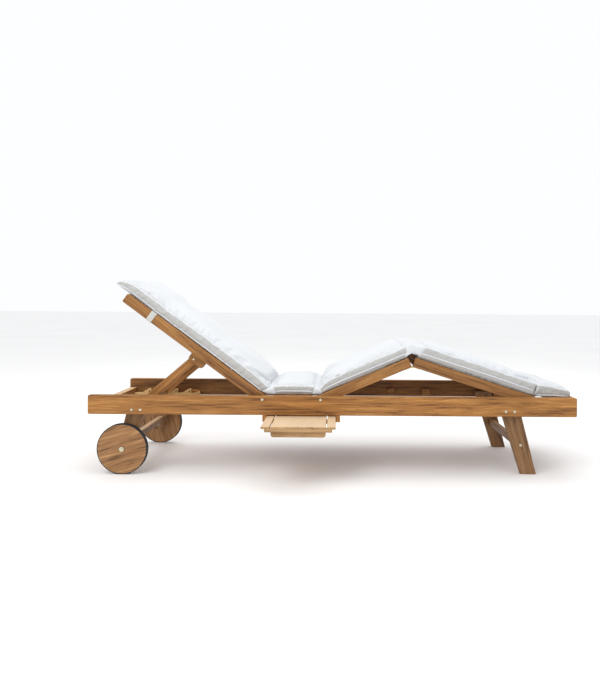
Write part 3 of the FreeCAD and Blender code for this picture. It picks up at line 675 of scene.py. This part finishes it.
def smooth_loop(outline, step):
    """Points at even steps round a closed (x, z) outline, with its corners rounded off."""
    points = []
    for start, end in zip(outline, outline[1:] + outline[:1]):
        start, end = Vector(start), Vector(end)
        count = max(1, round((end - start).length / step))
        points += [start.lerp(end, number / count) for number in range(count)]
    for _ in range(2):
        points = [(points[number - 1] + points[number] * 2 + points[(number + 1) % len(points)]) / 4
                  for number in range(len(points))]
    return points


def fold(name, outline, half, seed, depth=0.002, crown=0.0):
    """Crumpled fabric across the whole width, from its (x, z) outline in the frame's axes."""
    loop = smooth_loop(outline, 0.005)
    middle = sum(loop, Vector((0, 0))) / len(loop)
    low = min(point.y for point in loop)
    tall = max(point.y for point in loop) - low
    slices = round(2 * half / 0.008)
    rings = [(y, 1.0) for y in (half * (2 * number / slices - 1) for number in range(slices + 1))]
    caps = [(0.003, 0.86), (0.005, 0.60), (0.006, 0.30)]
    rings = [(-half - out, size) for out, size in reversed(caps)] + rings
    rings += [(half + out, size) for out, size in caps]
    vertices = []
    for y, size in rings:
        for point in loop:
            spot = middle + (point - middle) * size
            crease = noise.noise(Vector((spot.x * 45, y * 16 + seed, spot.y * 45)))
            crease += 0.5 * noise.noise(Vector((spot.x * 30, y * 60 + seed, spot.y * 30)))
            out = (spot - middle).normalized() * crease * depth * size
            swell = crown * (1 - min(abs(y) / half, 1) ** 3) * max((spot.y - low) / tall, 0) ** 2
            vertices.append((spot.x + out.x, MID_Y + y, spot.y + out.y + swell))
    count = len(loop)
    faces = []
    for ring in range(len(rings) - 1):
        for number in range(count):
            following = (number + 1) % count
            first, second = ring * count, (ring + 1) * count
            faces.append((first + number, first + following, second + following, second + number))
    last = (len(rings) - 1) * count
    faces.append(tuple(range(count))[::-1])
    faces.append(tuple(last + number for number in range(count)))
    made = add_mesh(name, vertices, faces, FABRICS["fold"])
    skin = bmesh.new()
    skin.from_mesh(made.data)
    bmesh.ops.recalc_face_normals(skin, faces=skin.faces)
    skin.to_mesh(made.data)
    skin.free()
    return made


def spot(panel, x, z):
    """A place in a panel's axes as (x, z) in the frame's axes."""
    point = panel.at(x, 0, z)
    return point.x, point.z


SEAT_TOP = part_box("seat_slats")[1].z
HINGE_X, _, HINGE_Z = JOINTS["backrest_hinge"]["pos_m"]
END_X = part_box("end_cushion")[1].x
FLAP_START = [FOOT.at(0.5170, 0, 0.0446).x - HINGE_X, FOOT.at(0.5165, 0, 0.099).x - HINGE_X]
LEVEL_FLOOR = SEAT_TOP + 0.0003 - HINGE_Z
PADS = [
    Pad("back_pad", BACK, 0.0153, (-0.775, -0.776), (-0.020, -0.005),
        [(0, 0.007), (0.012, 0.024), (0.05, 0.039), (0.165, 0.0440), (0.200, 0.0400),
         (0.222, 0.0385), (0.27, 0.0400), (0.40, 0.0420), (0.65, 0.0425), (0.73, 0.039),
         (0.775, 0.030)],
        [(0, 0.002), (0.05, 0.009), (0.18, 0.004), (0.35, 0.002), (0.775, 0.001)], seam=0.14,
        body="backrest", fabric=FABRICS["back"], swell=0.013, seed=1.0, replaces="back_cushion"),
    Pad("seat_pad", LEVEL, LEVEL_FLOOR, (0.049, 0.038), (0.2070, 0.2130),
        [(0, 0.0345), (0.03, 0.0395), (0.13, 0.040), (0.17, 0.036)], [(0, 0.003), (1, 0.003)],
        body="chassis", fabric=FABRICS["seat"], crown=0.009, swell=0.007, seed=5.0,
        replaces="seat_cushion"),
    Pad("thigh_pad", THIGH, 0.0153, (0.012, 0.010), (0.397, 0.4125),
        [(0, 0.022), (0.03, 0.038), (0.08, 0.0440), (0.41, 0.0445)], [(0, 0.002), (0.06, 0.0035),
        (1, 0.0035)], body="thigh_panel", fabric=FABRICS["thigh"], swell=0.013, seed=9.0,
        replaces="thigh_cushion"),
    Pad("foot_pad", FOOT, 0.0433, (0.009, 0.0255), (0.516, 0.5145),
        [(0, 0.054), (0.25, 0.0555), (0.495, 0.0545)], [(0, 0.006), (0.35, 0.008), (0.50, 0.002)],
        body="foot_panel", fabric=FABRICS["foot"], crown=0.009, swell=0.014, seed=13.0,
        replaces="foot_cushion"),
    Pad("end_flap", LEVEL, LEVEL_FLOOR, FLAP_START,
        (END_X - HINGE_X, END_X - 0.001 - HINGE_X),
        [(0, 0.0525), (0.020, 0.0515), (0.075, 0.0385), (0.125, 0.0275), (0.143, 0.020),
         (0.156, 0.006)],
        [(0, 0), (1, 0)], body="chassis", fabric=FABRICS["foot"], crown=0.008,
        seam=0.14, swell=0.008, seed=17.0, replaces="end_cushion",
        squash=(END_X, MID_Y, SEAT_TOP)),
]
for pad in PADS:
    make_pad(pad)


def seat_spot(x, z):
    return spot(LEVEL, x, LEVEL_FLOOR + z)


back_fold = fold("back_fold", [
    spot(BACK, -0.024, 0.0185), spot(BACK, -0.016, 0.032), spot(BACK, -0.011, 0.0420),
    seat_spot(0.0300, 0.0275), seat_spot(0.0420, 0.0320), seat_spot(0.0500, 0.015),
    seat_spot(0.0520, 0.0020), seat_spot(0.016, 0.0020),
], HALF_WIDTH + 0.001, 3.0, 0.001, 0.006)
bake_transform(back_fold)
thigh_fold = fold("thigh_fold", [
    seat_spot(0.2040, 0.0020), seat_spot(0.2050, 0.015), seat_spot(0.2090, 0.0320),
    seat_spot(0.2220, 0.0285), spot(THIGH, 0.014, 0.0345), spot(THIGH, 0.018, 0.028),
    spot(THIGH, 0.018, 0.0175), seat_spot(0.236, 0.0020),
], HALF_WIDTH + 0.001, 7.0, 0.001, 0.006)
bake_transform(thigh_fold)
knee_fold = fold("knee_fold", [
    spot(THIGH, 0.3900, 0.021), spot(THIGH, 0.3960, 0.040), spot(THIGH, 0.4035, 0.0585),
    spot(THIGH, 0.4290, 0.0605), spot(FOOT, 0.0060, 0.0930), spot(FOOT, 0.0330, 0.0965),
    spot(FOOT, 0.0255, 0.070), spot(FOOT, 0.0180, 0.0495), spot(FOOT, 0.0020, 0.058),
    spot(THIGH, 0.4115, 0.027),
], HALF_WIDTH + 0.001, 11.0, 0.0035, 0.006)
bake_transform(knee_fold)


def strap(side):
    """A flat elastic loop round a backrest stile, sewn to the cushion's underside."""
    name = "strap_" + side
    centre, half, thick = -0.572, 0.0125, 0.0012
    low, high = local_box("backrest_stile_" + side, BACK)
    gap = 0.0006
    loop = [(low.y - gap, low.z - gap), (high.y + gap, low.z - gap), (high.y + gap, high.z + gap),
            (low.y - gap, high.z + gap)]
    middle = Vector(((low.y + high.y) / 2, (low.z + high.z) / 2))
    inner = smooth_loop(loop, 0.003)
    rows = 6
    vertices = []
    for thickness in (0, thick):
        for row in range(rows + 1):
            x = centre - half + 2 * half * row / rows
            for point in inner:
                away = (point - middle).normalized() * thickness
                vertices.append((x, point.x + away.x, point.y + away.y))
    count = len(inner)
    layer = (rows + 1) * count
    faces = []
    for number in range(count):
        following = (number + 1) % count
        for row in range(rows):
            a, b = row * count + number, row * count + following
            c, d = b + count, a + count
            faces.append((a, b, c, d))
            faces.append((layer + d, layer + c, layer + b, layer + a))
        for row in (0, rows):
            a, b = row * count + number, row * count + following
            rim = (a, layer + a, layer + b, b)
            faces.append(rim if row == 0 else rim[::-1])
    made = add_mesh(name, vertices, faces, WEBBING)
    place_in(made, BACK.matrix)
    attach(made, "backrest")


for side in SIDES:
    strap(side)

# ---------------------------------------------------------------- camera, floor and light


def camera():
    """The camera stands level with the seat's middle and looks square at the right-hand rail."""
    rail_low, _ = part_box("side_rail_right")
    lens = bpy.data.cameras.new("camera")
    lens.sensor_width = 36.0
    lens.lens = 34.9
    lens.shift_x = -0.0522
    lens.shift_y = -0.0736
    made = bpy.data.objects.new("camera", lens)
    SCENE.collection.objects.link(made)
    roll = Matrix.Rotation(math.radians(0.40), 4, "Z")
    look = Matrix.Rotation(math.radians(90), 4, "X")
    spot = Matrix.Translation((rail_low.x + 1.0139, rail_low.y - 2.7706, 0.7199))
    made.matrix_world = spot @ look @ roll
    SCENE.camera = made


def floor():
    size = 30.0
    shader = Shader("floor_finish")
    cloud = shader.noise(shader.place(), 0.8, 2.0)
    colour = shader.mix(shader.level(cloud, 0.3, 0.7), (0.90, 0.90, 0.90), (0.93, 0.93, 0.93))
    corners = [(-size, -size, 0), (size, -size, 0), (size, size, 0), (-size, size, 0)]
    finish = shader.finish(color=colour, rough=0.9, specular=0.1)
    add_mesh("floor", corners, [(0, 1, 2, 3)], finish)


def area_light(name, spot, target, size, power, tint=(1, 1, 1)):
    light = bpy.data.lights.new(name, "AREA")
    light.shape = "SQUARE"
    light.size = size
    light.energy = power
    light.color = tint
    made = bpy.data.objects.new(name, light)
    SCENE.collection.objects.link(made)
    made.location = spot
    aim = Vector(target) - Vector(spot)
    made.rotation_euler = aim.to_track_quat("-Z", "Y").to_euler()


def lights():
    target = (0, MID_Y, 0.35)
    area_light("key", (-1.6, -2.4, 3.2), target, 2.2, 52, (1.0, 0.98, 0.94))
    area_light("top", (0.6, 1.2, 3.6), target, 3.0, 40, (1.0, 0.99, 0.97))
    world = bpy.data.worlds.new("sky")
    world.use_nodes = True
    SCENE.world = world
    back = world.node_tree.nodes["Background"]
    back.inputs["Color"].default_value = (0.985, 0.99, 1.0, 1)
    back.inputs["Strength"].default_value = 1.0


camera()
floor()
lights()
SCENE.view_settings.view_transform = "Standard"
